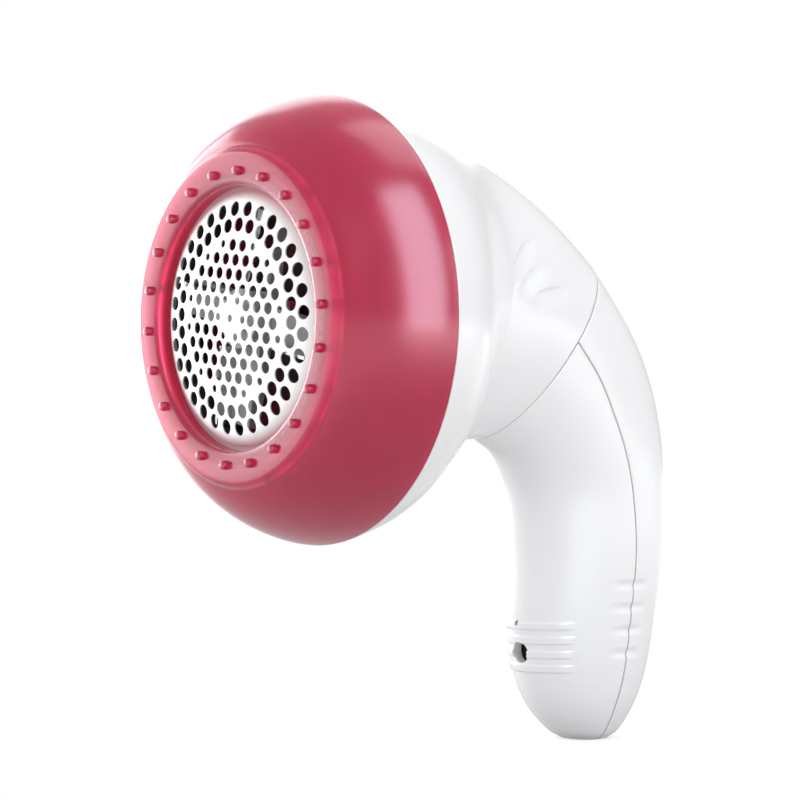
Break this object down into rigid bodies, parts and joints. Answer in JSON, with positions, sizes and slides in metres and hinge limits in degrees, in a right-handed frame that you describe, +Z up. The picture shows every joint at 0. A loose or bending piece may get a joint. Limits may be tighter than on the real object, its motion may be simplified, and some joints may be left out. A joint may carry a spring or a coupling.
{
  "type": "fabric shaver",
  "caption": "Handheld fabric shaver with a translucent round head cover, a perforated foil over a spinning cutter, and a bent two-shell handle with a slide switch.",
  "frame": {"origin": "centre of the flat foot at the lower end of the handle", "axes": "+Z up the handle from the foot, the foil faces -Y, and X = 0 is the plane that halves the handle"},
  "size_m": [0.08, 0.1033, 0.119],
  "materials": {
    "cover_red": "clear tinted gloss",
    "foil_steel": "bright etched sheet",
    "white_shell": "gloss",
    "white_inner": "satin",
    "cutter_grey": "satin",
    "blade_steel": "bright",
    "black_plastic": "matte",
    "motor_steel": "plated",
    "brass": "bare",
    "cell_wrap": "film wrap",
    "board_green": "coated",
    "lamp": "diffuse",
    "wire": "matte"
  },
  "bodies": {
    "body": {"motor_can": "motor_steel", "motor_bush": "brass", "motor_cap": "white_inner", "motor_terminals": "brass", "motor_screws": "blade_steel", "chamber_plate": "black_plastic", "plate_screws": "blade_steel", "head_housing": "white_shell", "handle_front": "white_shell", "handle_back": "white_shell", "handle_screw": "blade_steel", "battery": "cell_wrap", "battery_tabs": "blade_steel", "circuit_board": "board_green", "board_screws": "blade_steel", "charge_socket": "black_plastic", "charge_pin": "brass", "charge_light": "lamp", "switch_body": "motor_steel", "motor_leads": "wire"},
    "cover": {"head_cover": "cover_red", "foil": "foil_steel", "foil_ring": "black_plastic"},
    "cutter": {"cutter_hub": "cutter_grey", "cutter_blades": "blade_steel", "cutter_spring": "blade_steel", "drive_sleeve": "black_plastic", "motor_shaft": "blade_steel"},
    "switch": {"switch_knob": "white_shell"}
  },
  "joints": [
    {"name": "cover_twist", "type": "hinge", "parent": "body", "child": "cover", "pos_m": [0, -0.0835, 0.079], "axis": [0, -1, 0], "range_deg": [0, 20]},
    {"name": "cutter_spin", "type": "hinge", "parent": "body", "child": "cutter", "pos_m": [0, -0.0835, 0.079], "axis": [0, -1, 0], "continuous": true},
    {"name": "switch_slide", "type": "slide", "parent": "body", "child": "switch", "axis": [0, -0.1794, 0.9838], "range_m": [0, 0.004]}
  ]
}
